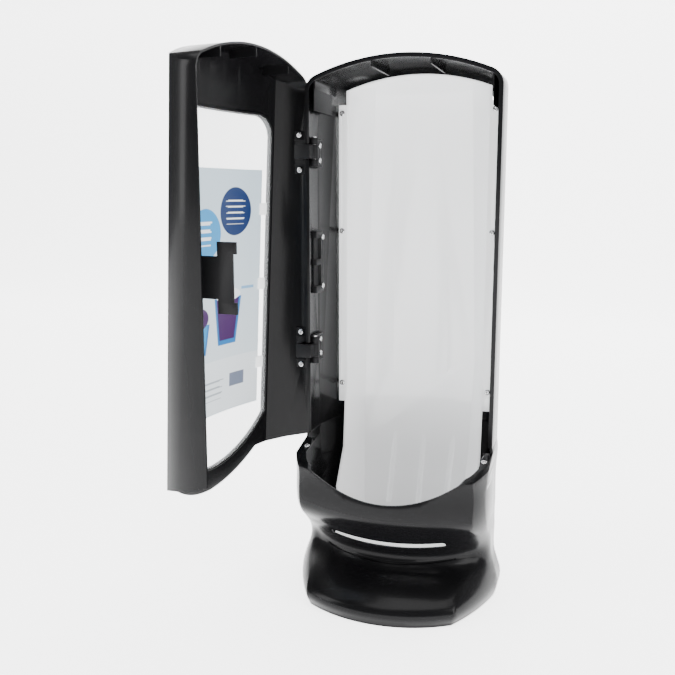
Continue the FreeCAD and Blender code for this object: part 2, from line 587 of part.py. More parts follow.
leaf_x = "wall - body_width / 2"
hinges = {"upper": "hinge_upper", "lower": "hinge_lower"}
pivot_x, pivot_y = "pivot_inset - body_width / 2", "pivot_depth"
bracket_bodies, arm_bodies, pins = {}, {}, {}
bracket_screw_places, arm_screw_places = [], []
leaf_face = size("wall") - half_width + size("leaf_thickness")
leaf_start = "-parting_gap - arm_leaf_back - arm_leaf_depth"
arm_notches = []
for key, level in hinges.items():
    leaf = box(f"bracket_leaf_{key}", (leaf_x, "pivot_depth", f"{level} - bracket_height / 2"),
               ("leaf_thickness", "flat_side_depth - pivot_depth - 1", "bracket_height"))
    knuckles = []
    for end, start in (("low", f"{level} - arm_height / 2 - knuckle_height"), ("high", f"{level} + arm_height / 2")):
        knuckles.append(rod(f"knuckle_{end}_{key}", (pivot_x, pivot_y, start), "knuckle_radius", "knuckle_height"))
        knuckles.append(box(f"knuckle_web_{end}_{key}", (leaf_x, pivot_y, start),
                            ("pivot_inset - wall", "knuckle_radius + 4", "knuckle_height")))
    ribs = [box(f"bracket_rib_{side}_{key}",
                (leaf_x, "pivot_depth + knuckle_radius", f"{level} + {side} * (bracket_height / 2 - 1) - 1"),
                ("leaf_thickness + 2", "flat_side_depth - pivot_depth - knuckle_radius - 2", "2")) for side in (-1, 1)]
    window = box(f"bracket_window_{key}", ("-body_width", "pivot_depth + knuckle_radius + 4.5", f"{level} - 10"),
                 ("body_width", "4", "20"))
    bore = rod(f"bore_{key}", (pivot_x, pivot_y, f"{level} - bracket_height"), "pin_diameter / 2", "bracket_height * 2")
    knuckle_space = rod(f"knuckle_space_{key}", (pivot_x, pivot_y, f"{level} - arm_height / 2"),
                        "knuckle_radius + 1", "arm_height")
    place_screw = V(leaf_face, size("flat_side_depth") - 8, size(level))
    bracket_screw_places += [place_screw + V(0, 0, dz) for dz in (-9, 9)]
    bracket_bodies[key] = cut_all(f"bracket_{key}", fuse(f"bracket_blank_{key}", leaf, *knuckles, *ribs),
                                  window, bore, knuckle_space)
    pins[key] = fuse(f"pin_{key}",
                     rod(f"pin_rod_{key}", (pivot_x, pivot_y, f"{level} - arm_height / 2 - knuckle_height"),
                         "pin_diameter / 2", "arm_height + knuckle_height * 2"),
                     rod(f"pin_head_{key}", (pivot_x, pivot_y, f"{level} + arm_height / 2 + knuckle_height"),
                         "pin_diameter * 0.75", "1.2"))
    arm_notches.append(box(f"arm_notch_{key}", (leaf_x, "-1", f"{level} - arm_height / 2 - arm_notch_margin"),
                           ("lip_width", "lip_depth + 1.5", "arm_height + arm_notch_margin * 2")))
    # gooseneck arm: knuckle, reach into the tower, run forward, back to the door's side wall
    tall = "arm_height - knuckle_gap * 2"
    low = f"{level} - arm_height / 2 + knuckle_gap"
    reach_in = box(f"arm_reach_{key}", (pivot_x, f"{pivot_y} - arm_thickness / 2", low),
                   ("arm_reach + arm_thickness / 2", "arm_thickness", tall))
    run = box(f"arm_run_{key}", (f"{pivot_x} + arm_reach - arm_thickness / 2", "-parting_gap - arm_leaf_depth / 2", low),
              ("arm_thickness", f"{pivot_y} + arm_thickness / 2 + parting_gap + arm_leaf_depth / 2", tall))
    back = box(f"arm_back_{key}", (leaf_x, "-parting_gap - arm_leaf_depth / 2", low),
               ("pivot_inset - wall + arm_reach + arm_thickness / 2", "arm_thickness", tall))
    arm_leaf = box(f"arm_leaf_{key}", (leaf_x, leaf_start, f"{level} - arm_leaf_height / 2"),
                   ("leaf_thickness", "arm_leaf_depth", "arm_leaf_height"))
    arm_ribs = [box(f"arm_rib_{side}_{key}",
                    (leaf_x, leaf_start, f"{level} + {side} * arm_leaf_height * 0.3 - 0.8"),
                    ("leaf_thickness + 1.6", "arm_leaf_depth", "1.6")) for side in (-1, 1)]
    barrel = rod(f"arm_knuckle_{key}", (pivot_x, pivot_y, low), "knuckle_radius", tall)
    arm_bore = rod(f"arm_bore_{key}", (pivot_x, pivot_y, f"{level} - arm_height"), "pin_diameter / 2 + pin_clearance",
                   "arm_height * 2")
    arm_screw_places += [V(leaf_face, -size("parting_gap") - size("arm_leaf_back") - size("arm_leaf_depth") / 2,
                           size(level) + side * size("arm_screw_pitch") / 2) for side in (-1, 1)]
    arm_blank = fuse(f"arm_blank_{key}", reach_in, run, back, arm_leaf, barrel, *arm_ribs)
    arm_bodies[key] = cut(f"arm_{key}", arm_blank, arm_bore)

bracket_screws = screws("bracket_screw_set", bracket_screw_places, X_AXIS)
arm_screws = screws("arm_screw_set", arm_screw_places, X_AXIS)

# ---------------------------------------------------------------- latch keepers on both inner walls

keepers = {}
keeper_screw_places = {}
for key, side in (("left", -1), ("right", 1)):
    start_x = "wall - body_width / 2" if side < 0 else "body_width / 2 - wall - keeper_thickness"
    plate = box(f"keeper_plate_{key}", (start_x, "keeper_front", "latch_level - keeper_height / 2"),
                ("keeper_thickness", "flat_side_depth - keeper_front - 1", "keeper_height"))
    slots = [box(f"keeper_slot_{key}_{end}",
                 (f"{start_x} + {1.5 if side < 0 else -1.5}", "keeper_front - 1",
                  f"latch_level + keeper_bridge / 2" if end else "latch_level - keeper_bridge / 2 - keeper_slot_height"),
                 ("keeper_thickness", "(flat_side_depth - keeper_front) * 0.7", "keeper_slot_height")) for end in (0, 1)]
    keepers[key] = (plate, slots)
    face_x = side * (half_width - size("wall") - size("keeper_thickness"))
    keeper_screw_places[key] = [V(face_x, size("flat_side_depth") - 6, size("latch_level") + dz)
                                for dz in (-size("keeper_height") * 0.4, size("keeper_height") * 0.4)]

keeper_screws = {
    "left": screws("keeper_screw_left", keeper_screw_places["left"], X_AXIS),
    "right": screws("keeper_screw_right", keeper_screw_places["right"], V(-1, 0, 0)),
}
keeper_screw_set = group("keeper_screw_set", keeper_screws.values())

wall_ribs = [box(f"wall_rib_{key}_{side + 1}",
                 ("body_width / 2 - wall - 3", "lip_depth", f"{level} + {side} * bracket_height * 0.6 - 1"),
                 ("3.5", "flat_side_depth - lip_depth", "2")) for key, level in hinges.items() for side in (-1, 1)]
shell_bosses = common("shell_bosses", group("boss_set", bosses), shell_outer)
lip_notched = cut_all("lip_notched", lip_ring, *arm_notches)
shell_body = fuse("shell_with_ribs", shell_wall, lip_notched, shell_bosses, *roof_ribs, *wall_ribs)
shell_solid = common("shell_solid", shell_body, above_joint)
tower_fasteners = group("tower_fasteners", [bracket_screws, keeper_screw_set, liner_screws])
rear_shell = cut("rear_shell_drilled", shell_solid, tower_fasteners)

node("rear_shell", rear_shell)
node("rear_window", rear_pane)
node("magazine_liner", liner)
node("liner_screws", liner_screws)
node("base_housing", base_shell)
node("base_floor", floor_plate)
node("floor_screws", floor_screws_set)
node("nose_screws", nose_screw_set)
node("foot_pads", group("pad_set", pads))
node("throat_plate", throat)
for key in hinges:
    node(f"hinge_bracket_{key}", cut(f"bracket_drilled_{key}", bracket_bodies[key], bracket_screws))
    node(f"hinge_pin_{key}", pins[key])
node("hinge_bracket_screws", bracket_screws)
for key, (plate, slots) in keepers.items():
    node(f"latch_keeper_{key}", cut_all(f"keeper_{key}", plate, *slots, keeper_screws[key]))
node("keeper_screws", keeper_screw_set)

# ---------------------------------------------------------------- door, drawn closed

door_outer = common("door_outer", door_block("door_form", 0),
                    arch_block("door_arch", 0, 0, -size("shell_depth"), "shell_depth - parting_gap"))
door_inner = common("door_inner", door_block("door_form_in", size("wall")),
                    arch_block("door_arch_in", size("wall"), -1, -size("shell_depth"), "shell_depth + 5"))
window_tool = opening_block("window_tool", size("window_x"), size("window_low"), size("window_top"),
                            size("window_low_radius"), 0, -size("shell_depth"), "shell_depth - door_side_depth + 10")
below_rim = front_slab("below_rim", "rim_gap - overall_height", "overall_height")
# The edge is drawn back on the hinge side, so that it clears the rim as the door swings.
door_edge = common("door_edge", smile("door_smile", size("rim_gap")),
                   smile("door_smile_hinge_side", size("rim_gap"), "swing_relief"))
door_foot_cut = cut("door_foot_cut", below_rim, door_edge)
chamfer_face = Part.Face(Part.makePolygon([
    V(size("wall") - half_width - size("hinge_edge_chamfer"), -size("parting_gap"), 0),
    V(size("wall") - half_width + 1, -size("parting_gap"), 0),
    V(size("wall") - half_width + 1, -size("parting_gap") - size("hinge_edge_chamfer") - 1, 0),
    V(size("wall") - half_width - size("hinge_edge_chamfer"), -size("parting_gap"), 0)]))
hinge_edge = extrude("hinge_edge_tool", drawn("hinge_edge_face", chamfer_face), Z_AXIS, "overall_height")
door_ribs = []
for index, across in enumerate((-0.3, 0, 0.3)):
    blade = box(f"door_rib_{index}", (f"body_width * {across} - wall / 2", "-door_side_depth", "overall_height - 60"),
                ("wall * 0.8", "door_side_depth - lip_depth", "60"))
    door_ribs.append(common(f"door_rib_shape_{index}", blade, cut(
        f"door_rib_band_{index}",
        arch_block(f"door_rib_top_{index}", size("wall"), 0, -size("door_side_depth"), "shell_depth"),
        arch_block(f"door_rib_low_{index}", size("liner_inset"), -1, -size("shell_depth"), "shell_depth * 2"))))

# latch: a mount on the free side wall, a pin and a springy arm with its plate
mount_start = "-latch_pivot_y - 9"
mount_blank = box("mount_blank", ("latch_x - 3", mount_start, "latch_level - latch_mount_height / 2"),
                  ("body_width / 2 - wall - latch_x + 3", "14", "latch_mount_height"))
mount_gap = box("mount_gap", ("latch_x - 5", f"{mount_start} + 3", "latch_level - latch_arm_height / 2 - knuckle_gap"),
                ("10.5", "20", "latch_arm_height + knuckle_gap * 2"))
latch_pin = rod("latch_pin_form", ("latch_x", "-latch_pivot_y", "latch_level - latch_mount_height / 2"),
                "latch_pin_diameter / 2", "latch_mount_height")
latch_bore = rod("latch_bore", ("latch_x", "-latch_pivot_y", "latch_level - latch_mount_height / 2"),
                 "latch_pin_diameter / 2 + pin_clearance", "latch_mount_height")
arm_plate = box("latch_arm_plate", ("latch_x - latch_thickness / 2", "-latch_pivot_y", "latch_level - latch_arm_height / 2"),
                ("latch_thickness", "latch_pivot_y + latch_arm_end", "latch_arm_height"))
head_plate = box("latch_head_plate", ("latch_x - latch_thickness / 2", "latch_arm_end", "latch_level - latch_plate_height / 2"),
                 ("latch_thickness", "latch_plate_end - latch_arm_end", "latch_plate_height"))
latch_barrel = rod("latch_barrel", ("latch_x", "-latch_pivot_y", "latch_level - latch_arm_height / 2"),
                   "latch_pin_diameter / 2 + 1.6", "latch_arm_height")
latch_tabs = [box(f"latch_tab_{end}", ("latch_x - latch_thickness / 2", "latch_plate_end",
                                       "latch_level + latch_plate_height / 2 - latch_tab_height" if end
                                       else "latch_level - latch_plate_height / 2"),
                  ("latch_thickness", "latch_tab_length", "latch_tab_height")) for end in (0, 1)]
latch_groove = box("latch_groove", ("latch_x - latch_thickness / 2 - 1", "latch_plate_end - 5",
                                    "latch_level - latch_plate_height / 2 + 4"),
                   ("2", "1.6", "latch_plate_height - 8"))
latch_form = cut_all("latch_form", fuse("latch_blank", arm_plate, head_plate, latch_barrel, *latch_tabs),
                     latch_bore, latch_groove)
door_shell = cut_all("door_shell_form", fuse("door_with_ribs", cut("door_hollow", door_outer, door_inner), *door_ribs),
                     window_tool, door_foot_cut, hinge_edge, arm_screws)

door_pane_layer = cut("door_pane_layer", door_block("door_pane_out", size("wall")),
                      door_block("door_pane_in", size("wall") + size("pane_thickness")))
door_pane_outline = opening_block("door_pane_outline", size("window_x"), size("window_low"), size("window_top"),
                                  size("window_low_radius"), size("pane_lap"), -size("shell_depth"),
                                  "shell_depth - door_side_depth + 10")
door_pane = common("door_pane", door_pane_layer, door_pane_outline)

card_layer = cut("card_layer",
                 door_block("card_out", size("wall") + size("pane_thickness") + size("card_gap")),
                 door_block("card_in", size("wall") + size("pane_thickness") + size("card_gap") + size("card_thickness")))
card_outline = box("card_outline", ("-card_width / 2", "-shell_depth", "card_low"),
                   ("card_width", "shell_depth - door_side_depth + 10", "card_top - card_low"))
card = common("card_form", card_layer, card_outline)

clip_inset = size("wall") + size("pane_thickness")
clip_layer = cut("clip_layer", door_block("clip_out", clip_inset),
                 door_block("clip_in", clip_inset + size("card_gap") * 2 + size("card_thickness") + size("clip_thickness")))
clip_relief = cut("clip_relief", door_block("relief_out", clip_inset - 1),
                  door_block("relief_in", clip_inset + size("card_gap") * 2 + size("card_thickness")))
relief_box = box("relief_box", ("-card_width / 2 - card_gap", "-shell_depth", "0"),
                 ("card_width + card_gap * 2", "shell_depth", "overall_height"))
clip_boxes = []
for level in ("clip_low", "clip_middle", "clip_high"):
    for side, start in ((0, "-card_width / 2 - clip_reach"), (1, "card_width / 2 - clip_reach * 0.6")):
        clip_boxes.append(box(f"{level}_box_{side}", (start, "-shell_depth", f"{level} - clip_height / 2"),
                              ("clip_reach * 1.6", "shell_depth - door_side_depth + 12", "clip_height")))
clips = cut("clips_form", common("clips_blank", clip_layer, group("clip_zone", clip_boxes)),
            common("clip_pocket", clip_relief, relief_box))

node("door_shell", door_shell, on_door=True)
node("door_window", door_pane, on_door=True)
node("card_clips", clips, on_door=True)
node("ad_card", card, on_door=True)
for key in hinges:
    node(f"hinge_arm_{key}", cut(f"arm_drilled_{key}", arm_bodies[key], arm_screws), on_door=True)
node("hinge_arm_screws", arm_screws, on_door=True)
mount_body = common("mount_inside", mount_blank, door_inner)
node("latch_mount", cut_all("latch_mount_form", mount_body, mount_gap, latch_pin), on_door=True)
node("latch_pin", latch_pin, on_door=True)
node("latch_arm", latch_form, on_door=True)

# ---------------------------------------------------------------- check and write

doc.recompute()
faults = [f"{part.Name}: {part.State}" for part in doc.Objects if "Invalid" in part.State or "Error" in part.State]
for part in nodes:
    if part.Shape.isNull() or not part.Shape.isValid() or not part.Shape.Solids:
        faults.append(f"{part.Label}: bad shape")
if faults:
    raise RuntimeError("; ".join(faults))

os.makedirs("parts", exist_ok=True)
for part in nodes:
    part.Shape.exportStep(f"parts/{part.Label}.step")
    bounds = part.Shape.BoundBox
    print(f"{part.Label:24s} solids {len(part.Shape.Solids):2d} volume {part.Shape.Volume:10.0f} "
          f"x {bounds.XMin:7.1f} {bounds.XMax:7.1f} y {bounds.YMin:7.1f} {bounds.YMax:7.1f} z {bounds.ZMin:6.1f} {bounds.ZMax:6.1f}")
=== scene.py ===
"""Looks of the countertop napkin dispenser tower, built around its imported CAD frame."""

import logging
import math
from dataclasses import dataclass, field
from enum import Enum
from typing import Any, Callable, Iterable, Sequence, Union

import bmesh
import bpy
from mathutils import Matrix, Vector


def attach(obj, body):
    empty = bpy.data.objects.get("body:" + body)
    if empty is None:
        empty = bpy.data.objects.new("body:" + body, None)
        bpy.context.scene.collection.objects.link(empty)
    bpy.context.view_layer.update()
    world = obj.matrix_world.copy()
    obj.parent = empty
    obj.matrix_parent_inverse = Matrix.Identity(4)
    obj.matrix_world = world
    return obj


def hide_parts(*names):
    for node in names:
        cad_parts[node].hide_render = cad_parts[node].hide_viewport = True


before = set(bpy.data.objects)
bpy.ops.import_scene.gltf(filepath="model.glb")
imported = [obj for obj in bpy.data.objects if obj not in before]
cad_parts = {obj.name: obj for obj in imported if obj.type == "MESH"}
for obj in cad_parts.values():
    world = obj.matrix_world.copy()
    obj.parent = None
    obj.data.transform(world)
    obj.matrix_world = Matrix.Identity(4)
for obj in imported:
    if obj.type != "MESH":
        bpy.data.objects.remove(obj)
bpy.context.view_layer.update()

log = logging.getLogger("napkin_tower")
Number = Union[int, float]
Colour = tuple[float, float, float]


class Body(Enum):
    """The bodies that the pieces ride on."""

    TOWER = "tower"
    DOOR = "door"
    CARD = "card"
    LATCH = "latch"


# ---------------------------------------------------------------- shader maths


class Val:
    """A shader value that can be written into Python expressions."""

    def __init__(self, shader: "Shader", socket: bpy.types.NodeSocket) -> None:
        """Wrap a number socket of a shader."""
        self.shader = shader
        self.socket = socket

    def _with(self, operation: str, *others: Union["Val", Number]) -> "Val":
        """A Math node on this value and others."""
        return self.shader.maths(operation, self, *others)

    def __add__(self, other: Union["Val", Number]) -> "Val":
        """Sum."""
        return self._with("ADD", other)

    __radd__ = __add__

    def __sub__(self, other: Union["Val", Number]) -> "Val":
        """Difference."""
        return self._with("SUBTRACT", other)

    def __rsub__(self, other: Number) -> "Val":
        """Difference from a number."""
        return self.shader.maths("SUBTRACT", other, self)

    def __mul__(self, other: Union["Val", Number]) -> "Val":
        """Product."""
        return self._with("MULTIPLY", other)

    __rmul__ = __mul__

    def __truediv__(self, other: Union["Val", Number]) -> "Val":
        """Quotient."""
        return self._with("DIVIDE", other)

    def __pow__(self, power: Number) -> "Val":
        """Power."""
        return self._with("POWER", power)

    def __abs__(self) -> "Val":
        """Size without sign."""
        return self._with("ABSOLUTE")

    def low(self, other: Union["Val", Number]) -> "Val":
        """The smaller of two values."""
        return self._with("MINIMUM", other)

    def high(self, other: Union["Val", Number]) -> "Val":
        """The larger of two values."""
        return self._with("MAXIMUM", other)

    def clamp(self) -> "Val":
        """The value kept from 0 to 1."""
        return self.high(0.0).low(1.0)


class Shader:
    """A material's node tree and the few ways that the finishes add nodes to it."""

    def __init__(self, name: str) -> None:
        """Start an empty material of that name."""
        self.material = bpy.data.materials.new(name)
        self.material.use_nodes = True
        self.tree = self.material.node_tree
        self.tree.nodes.clear()
        self.place = self.node("ShaderNodeTexCoord").outputs["Object"]

    def node(self, kind: str, settings: dict[str, Any] | None = None, **sockets: Any) -> bpy.types.Node:
        """Add a node.

        Args:
            kind: The node's type.
            settings: Its own settings, set first.
            sockets: Values or links for its input sockets, named with _ for each space.

        Returns:
            The node.
        """
        made = self.tree.nodes.new(kind)
        for key, value in (settings or {}).items():
            setattr(made, key, value)
        for key, value in sockets.items():
            place = int(key[1:]) if key[1:].isdigit() else key.replace("_", " ")
            self.feed(made.inputs[place], value)
        return made

    def feed(self, socket: bpy.types.NodeSocket, value: Any) -> None:
        """Link a value to a socket, or set the socket's own number."""
        if isinstance(value, Val):
            self.tree.links.new(value.socket, socket)
        elif isinstance(value, bpy.types.NodeSocket):
            self.tree.links.new(value, socket)
        else:
            socket.default_value = value

    def maths(self, operation: str, *values: Union[Val, Number]) -> Val:
        """One Math node on up to three values."""
        sockets = {f"_{index}": value for index, value in enumerate(values)}
        return Val(self, self.node("ShaderNodeMath", {"operation": operation}, **sockets).outputs[0])

    def noise(self, scale: float, detail: float = 2.0, stretch: Sequence[float] | None = None) -> Val:
        """Noise in metres of the object.

        Args:
            scale: How many features fit in a metre.
            detail: How many finer layers it has.
            stretch: Scale along each axis, where they differ.

        Returns:
            The noise, about 0.5 on average.
        """
        place = self.place
        if stretch is not None:
            place = self.node("ShaderNodeMapping", Vector=place, Scale=tuple(stretch)).outputs[0]
        made = self.node("ShaderNodeTexNoise", Vector=place, Scale=scale, Detail=detail)
        return Val(self, made.outputs[0])

    def axes(self) -> tuple[Val, Val, Val]:
        """The object's own X, Y and Z."""
        split = self.node("ShaderNodeSeparateXYZ", Vector=self.place)
        return tuple(Val(self, output) for output in split.outputs)

    def facing(self, blend: float = 0.5) -> Val:
        """How far the surface turns away from the eye, for gloss and for the clear plastic's painted
        reflection.
        """
        return Val(self, self.node("ShaderNodeLayerWeight", Blend=blend).outputs["Facing"])

    def mix(self, factor: Union[Val, Number], first: Any, second: Any) -> bpy.types.NodeSocket:
        """A colour between two colours."""
        made = self.node("ShaderNodeMix", {"data_type": "RGBA"})
        self.feed(made.inputs[0], factor)
        for socket, colour in ((made.inputs[6], first), (made.inputs[7], second)):
            self.feed(socket, (*colour, 1.0) if isinstance(colour, tuple) else colour)
        return made.outputs[2]

    def bump(self, height: Val, depth: float, strength: float = 1.0) -> bpy.types.NodeSocket:
        """A Normal from a height, with its depth in metres."""
        made = self.node("ShaderNodeBump", Strength=strength, Distance=depth, Height=height)
        return made.outputs[0]

    def surface(self, **sockets: Any) -> bpy.types.Material:
        """Close the tree with a Principled shader.

        Args:
            sockets: Its inputs, named with _ for each space.

        Returns:
            The finished material.
        """
        made = self.node("ShaderNodeBsdfPrincipled", None, **sockets)
        output = self.node("ShaderNodeOutputMaterial")
        self.tree.links.new(made.outputs[0], output.inputs[0])
        return self.material


# ---------------------------------------------------------------- finishes


@dataclass(frozen=True)
class MouldedBlack:
    """Black moulded plastic: a polished skin with slight flow marks, or a finely grained one."""

    name: str
    tone: Colour = (0.0032, 0.0032, 0.0036)
    worn: Colour = (0.0075, 0.0075, 0.0082)
    gloss: float = 0.24
    grain: float = 2600.0
    grain_depth: float = 0.000012
    coat: float = 0.04
    specular: float = 0.12

    def build(self) -> bpy.types.Material:
        """The finish as a material."""
        shader = Shader(self.name)
        cloud = shader.noise(14.0, 3.0)
        flow = shader.noise(38.0, 2.0, (1.0, 1.0, 0.25))
        dust = shader.noise(900.0, 1.0)
        speck = ((dust - 0.66) * 9.0).clamp()
        base = shader.mix((cloud * 0.6 + speck * 0.08).clamp(), self.tone, self.worn)
        rough = (self.gloss + (flow - 0.5) * 0.1 + (cloud - 0.5) * 0.06 + speck * 0.02).clamp()
        height = shader.noise(self.grain, 2.0) * 0.6 + flow * 0.9
        return shader.surface(
            Base_Color=base, Roughness=rough, Normal=shader.bump(height, self.grain_depth),
            Coat_Weight=(self.coat + (cloud - 0.5) * 0.06).clamp(), Coat_Roughness=0.12,
            Specular_IOR_Level=self.specular, IOR=1.46)


@dataclass(frozen=True)
class ClearMoulding:
    """Clear plastic, from a polished pane to a slightly hazy tray, with painted reflection in its edge opacity
    and, where set, a painted glow standing in for light shining through it from behind.
    """

    name: str
    tone: Colour = (0.93, 0.95, 0.96)
    shade: Colour = (0.86, 0.89, 0.91)
    body: float = 0.1
    # Opacity added towards grazing angles: painted reflection, the pale base colour standing in for the
    # plastic's reflection.
    edge: float = 0.35
    gloss: float = 0.08
    ripple: float = 0.00004
    # Emission strength: a painted glow, standing in for light shining through the plastic from behind.
    glow: float = 0.0

    def build(self) -> bpy.types.Material:
        """The finish as a material."""
        shader = Shader(self.name)
        haze = shader.noise(9.0, 3.0, (1.0, 1.0, 0.4))
        scuff = shader.noise(420.0, 3.0, (1.0, 1.0, 0.2))
        mark = ((scuff - 0.62) * 5.0).clamp()
        # The rim term is painted reflection: the plastic turns more opaque and pale towards grazing angles,
        # standing in for its reflection.
        rim = shader.facing(0.35)
        clear = (self.body + rim * self.edge + (haze - 0.5) * 0.06 + mark * 0.04).clamp()
        rough = (self.gloss + mark * 0.12 + (haze - 0.5) * 0.05).clamp()
        height = haze * 1.0 + scuff * 0.08
        # The emission is painted light: a glow of the plastic's own tone, standing in for backlight through it.
        return shader.surface(
            Base_Color=shader.mix(haze, self.tone, self.shade), Roughness=rough, Alpha=clear,
            Normal=shader.bump(height, self.ripple), IOR=1.49, Specular_IOR_Level=0.7,
            Emission_Color=(*self.tone, 1.0), Emission_Strength=self.glow)


@dataclass(frozen=True)
class PlatedSteel:
    """Bright zinc plating with fine turning marks and a trace of dulling."""

    name: str
    tone: Colour = (0.62, 0.62, 0.63)
    dull: Colour = (0.4, 0.39, 0.37)

    def build(self) -> bpy.types.Material:
        """The finish as a material."""
        shader = Shader(self.name)
        stain = shader.noise(500.0, 3.0)
        scratch = shader.noise(3000.0, 2.0, (1.0, 0.15, 1.0))
        base = shader.mix(((stain - 0.45) * 2.2).clamp(), self.tone, self.dull)
        rough = (0.24 + (stain - 0.5) * 0.25 + (scratch - 0.5) * 0.12).clamp()
        return shader.surface(Base_Color=base, Metallic=1.0, Roughness=rough,
                              Normal=shader.bump(scratch, 0.00001))


@dataclass(frozen=True)
class SoftRubber:
    """Dark rubber with a dry, grained skin."""

    name: str
    tone: Colour = (0.02, 0.02, 0.02)
    dry: Colour = (0.05, 0.049, 0.047)

    def build(self) -> bpy.types.Material:
        """The finish as a material."""
        shader = Shader(self.name)
        bloom = shader.noise(160.0, 4.0)
        grain = shader.noise(2200.0, 2.0)
        return shader.surface(Base_Color=shader.mix(bloom, self.tone, self.dry),
                              Roughness=(0.72 + (bloom - 0.5) * 0.2).clamp(),
                              Normal=shader.bump(grain, 0.00006))


@dataclass(frozen=True)
class WhiteMoulding:
    """White moulded plastic with faint yellowing and a satin skin, and a painted glow that stands in for light
    let through the plastic.
    """

    name: str
    tone: Colour = (0.86, 0.87, 0.87)
    warm: Colour = (0.8, 0.79, 0.75)
    # Emission strength: a painted glow, standing in for light shining through the plastic from behind.
    glow: float = 0.9

    def build(self) -> bpy.types.Material:
        """The finish as a material."""
        shader = Shader(self.name)
        cloud = shader.noise(30.0, 3.0)
        grain = shader.noise(1800.0, 2.0)
        # The emission is painted light: the plastic glows as if lit through from behind, though it is no lamp.
        return shader.surface(Base_Color=shader.mix((cloud * 0.7).clamp(), self.tone, self.warm),
                              Roughness=(0.34 + (cloud - 0.5) * 0.12).clamp(),
                              Normal=shader.bump(grain, 0.00002),
                              Emission_Color=(*self.tone, 1.0), Emission_Strength=self.glow)


@dataclass(frozen=True)
class PrintedCard:
    """A coated card printed with plain round spots, two tubs of dessert and rows of plain bars."""

    name: str
    sheet: Colour = (0.52, 0.63, 0.71)
    sheet_low: Colour = (0.62, 0.70, 0.75)
    navy: Colour = (0.010, 0.028, 0.105)
    sky: Colour = (0.035, 0.27, 0.56)
    purple: Colour = (0.055, 0.018, 0.09)
    outline: Colour = (0.02, 0.16, 0.42)
    cherry: Colour = (0.35, 0.02, 0.03)
    white: Colour = (0.82, 0.85, 0.87)
    grey: Colour = (0.2, 0.24, 0.28)

    def build(self) -> bpy.types.Material:
        """The finish as a material."""
        shader = Shader(self.name)
        _, across, up = shader.axes()
        fibre = shader.noise(1500.0, 2.0)
        cloud = shader.noise(12.0, 2.0)

        def disc(at: float, level: float, wide: float, tall: float) -> Val:
            """A filled ellipse, in metres."""
            far = (((across - at) / wide) ** 2.0 + ((up - level) / tall) ** 2.0) ** 0.5
            return ((1.0 - far) * 40.0).clamp()

        def block(at: float, level: float, wide: float, tall: float, taper: float = 0.0) -> Val:
            """A filled block whose width may grow upwards, in metres."""
            side = wide / 2 + (up - level) * taper - abs(across - at)
            end = tall / 2 - abs(up - level)
            return (side * 1500.0).clamp() * (end * 1500.0).clamp()

        def bars(at: float, wide: float, low: float, high: float, pitch: float, fill: float) -> Val:
            """Even rows of plain bars, in metres."""
            row = shader.maths("PINGPONG", up - low, pitch / 2)
            ragged = shader.maths("SINE", shader.maths("FLOOR", (up - low) / pitch) * 2.7) * 0.12 + 0.88
            side = ragged * (wide / 2) - abs(across - at)
            inside = ((up - low) * 1500.0).clamp() * ((high - up) * 1500.0).clamp()
            return ((pitch * fill / 2 - row) * 3000.0).clamp() * (side * 1500.0).clamp() * inside

        colour = shader.mix(((up - 0.3) * 5.0).clamp(), self.sheet_low, self.sheet)
        colour = shader.mix((block(-0.075, 0.259, 0.17, 0.064) * 0.55).clamp(), colour, self.white)
        layers: list[tuple[Val, Colour]] = [
            (disc(-0.113, 0.437, 0.032, 0.029), self.sky),
            (block(-0.124, 0.404, 0.026, 0.016, 0.4) * 0.6, self.sky),
            (bars(-0.116, 0.034, 0.424, 0.452, 0.0085, 0.5), self.white),
            (disc(-0.055, 0.462, 0.0285, 0.028), self.navy),
            (bars(-0.055, 0.036, 0.447, 0.479, 0.0068, 0.32), self.white),
            (block(-0.066, 0.335, 0.043, 0.056, 0.16), self.outline),
            (block(-0.066, 0.337, 0.036, 0.049, 0.16), self.purple),
            (disc(-0.066, 0.366, 0.024, 0.008), self.white),
            (block(-0.122, 0.318, 0.036, 0.036, 0.2), self.outline),
            (block(-0.122, 0.320, 0.029, 0.03, 0.2), self.sky),
            (disc(-0.124, 0.343, 0.021, 0.013), self.purple),
            (disc(-0.124, 0.357, 0.0062, 0.0062), self.cherry),
            (block(-0.03, 0.372, 0.022, 0.004, 0.0) * 0.7, self.sky),
            (bars(-0.105, 0.07, 0.243, 0.268, 0.0075, 0.34) * 0.75, self.grey),
            (block(-0.046, 0.2625, 0.027, 0.017) * 0.8, self.navy),
        ]
        for mask, ink in layers:
            colour = shader.mix(mask.clamp(), colour, ink)
        rough = (0.3 + (cloud - 0.5) * 0.08 + (fibre - 0.5) * 0.05).clamp()
        return shader.surface(Base_Color=colour, Roughness=rough, Normal=shader.bump(fibre, 0.000008),
                              Coat_Weight=(0.15 + (cloud - 0.5) * 0.1).clamp(), Coat_Roughness=0.2)


@dataclass(frozen=True)
class StudioSurface:
    """The pale sweep that the tower stands on."""

    name: str
    tone: Colour = (0.9, 0.9, 0.9)
    shade: Colour = (0.88, 0.88, 0.885)
    glow: float = 3.4

    def build(self) -> bpy.types.Material:
        """The finish as a material."""
        shader = Shader(self.name)
        cloud = shader.noise(1.2, 2.0)
        return shader.surface(Base_Color=shader.mix(cloud, self.tone, self.shade), Roughness=0.85,
                              Emission_Color=(1.0, 1.0, 1.0, 1.0), Emission_Strength=self.glow)


# ---------------------------------------------------------------- mesh and modifier helpers


